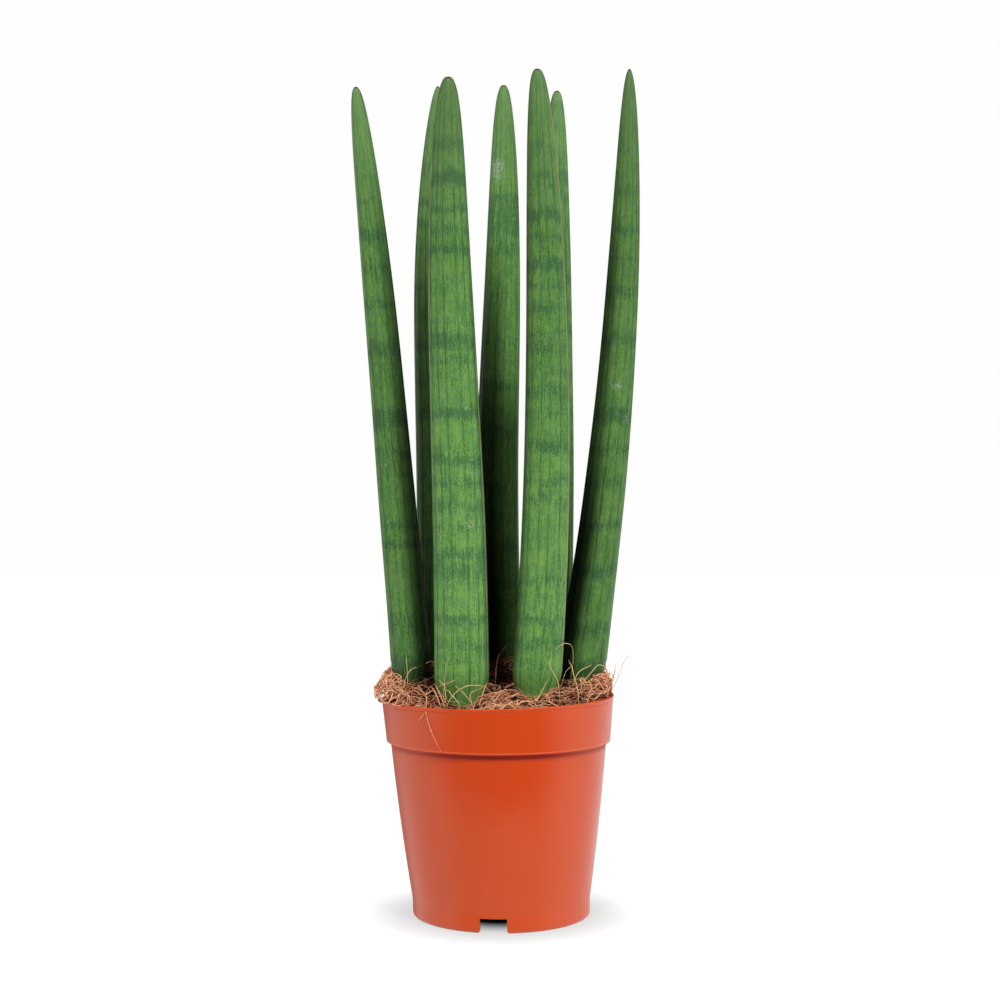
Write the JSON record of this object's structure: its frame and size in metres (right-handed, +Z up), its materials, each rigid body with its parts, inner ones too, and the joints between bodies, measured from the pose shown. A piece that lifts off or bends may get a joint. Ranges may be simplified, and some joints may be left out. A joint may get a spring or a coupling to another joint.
{
  "type": "cylindrical snake plant",
  "caption": "Potted cylindrical snake plant: thick, upright, pointed green leaves with darker bands, standing in soil topped with coir in a tapered plastic nursery pot.",
  "frame": {"origin": "on the ground under the pot, within 1 mm of its axis and within 2 mm of the middle of the whole plant's box", "axes": "+Z up, -Y towards the front, where the two broadest leaves stand, and +X to the right seen from the front"},
  "size_m": [0.1514, 0.1226, 0.4433],
  "materials": {
    "pot_plastic": "terracotta-orange injection-moulded plastic, satin",
    "soil": "dark brown peat potting soil, rough",
    "coir": "loose tan-brown coconut fibre",
    "leaf": "waxy green leaf with darker cross bands and fine dark furrows, satin"
  },
  "bodies": {
    "root": {"pot": "pot_plastic", "soil": "soil", "coir_mulch": "coir", "leaf_front_left": "leaf", "leaf_front_right": "leaf", "leaf_left": "leaf", "leaf_right": "leaf", "leaf_back_left": "leaf", "leaf_back_middle": "leaf", "leaf_back_right": "leaf"}
  },
  "joints": []
}
